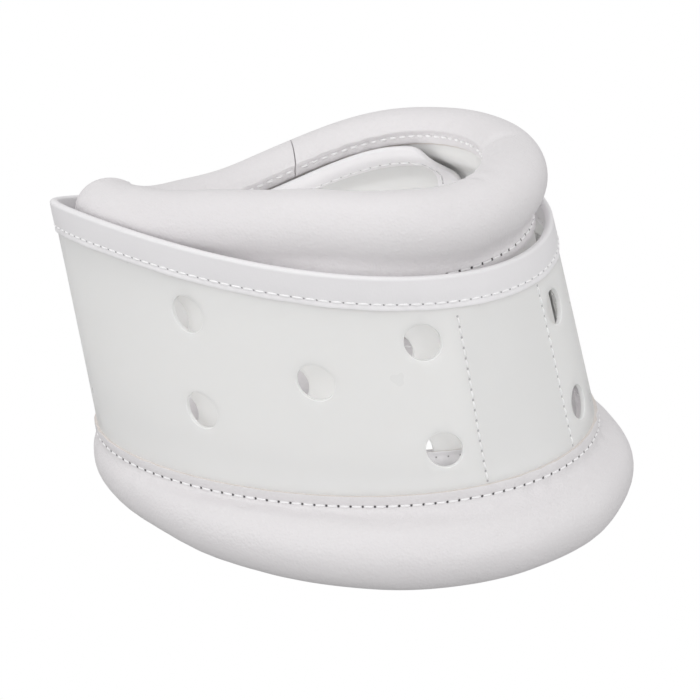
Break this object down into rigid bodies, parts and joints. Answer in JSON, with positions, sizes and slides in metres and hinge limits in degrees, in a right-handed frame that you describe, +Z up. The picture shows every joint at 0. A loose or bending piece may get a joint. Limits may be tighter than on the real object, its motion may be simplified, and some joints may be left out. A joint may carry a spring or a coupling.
{
  "type": "cervical collar",
  "caption": "Rigid adjustable cervical collar: two nested vented plastic bands with padded chin and base rolls, tape-bound edges, and a hook-and-loop closure at the wearer's right.",
  "frame": {"origin": "centre of the bounding box's bottom face, the plane that the base roll rests on", "axes": "+Z up, -Y the way the wearer faces, +X the wearer's left"},
  "size_m": [0.1629, 0.203, 0.127],
  "materials": {
    "polyethylene": "smooth translucent white polyethylene sheet, satin",
    "vinyl_cover": "fine-grained white vinyl, soft satin",
    "vinyl_tape": "folded white vinyl binding tape, satin",
    "foam": "open-cell cream foam, matte",
    "thread": "white polyester sewing thread",
    "hook_tape": "moulded hooks, matte",
    "loop_tape": "brushed loop pile, matte"
  },
  "bodies": {
    "lower_front": {"lower_band_front": "polyethylene", "lower_top_tape_front": "vinyl_tape", "lower_tape_thread_front": "thread", "lower_roll_cover_front": "vinyl_cover", "lower_roll_foam_front": "foam", "lower_roll_thread_front": "thread"},
    "lower_rear": {"lower_band_rear": "polyethylene", "lower_top_tape_rear": "vinyl_tape", "lower_tape_thread_rear": "thread", "lower_roll_cover_rear": "vinyl_cover", "lower_roll_foam_rear": "foam", "lower_roll_thread_rear": "thread", "hook_patch_left": "hook_tape", "hook_patch_right": "hook_tape", "patch_thread_left_1": "thread", "patch_thread_left_2": "thread", "patch_thread_right_1": "thread", "patch_thread_right_2": "thread"},
    "upper_front": {"upper_band_front": "polyethylene", "upper_bottom_tape_front": "vinyl_tape", "upper_roll_cover_front": "vinyl_cover", "upper_roll_foam_front": "foam", "upper_roll_thread_front": "thread", "tab_hook_pad": "hook_tape", "tab_tape": "vinyl_tape", "tab_thread": "thread"},
    "upper_rear": {"upper_band_rear": "polyethylene", "upper_bottom_tape_rear": "vinyl_tape", "upper_roll_cover_rear": "vinyl_cover", "upper_roll_foam_rear": "foam", "upper_roll_thread_rear": "thread", "loop_patch_left": "loop_tape", "loop_patch_right": "loop_tape", "end_loop_pad": "loop_tape"}
  },
  "joints": [
    {"name": "height_slide", "type": "slide", "parent": "lower_front", "child": "upper_front", "axis": [0, -0.1736, 0.9848], "range_m": [0, 0.015]},
    {"name": "lower_flex", "type": "hinge", "parent": "lower_front", "child": "lower_rear", "pos_m": [0.084, 0.0163, 0.06], "axis": [0, 0.1736, -0.9848], "range_deg": [0, 45], "stiffness_Nm_per_rad": 0.05},
    {"name": "upper_flex", "type": "hinge", "parent": "upper_front", "child": "upper_rear", "pos_m": [0.084, 0.0163, 0.06], "axis": [0, 0.1736, -0.9848], "range_deg": [0, 45]}
  ],
  "couplings": [
    {"joint": "upper_flex", "follows": "lower_flex", "ratio": 1}
  ]
}
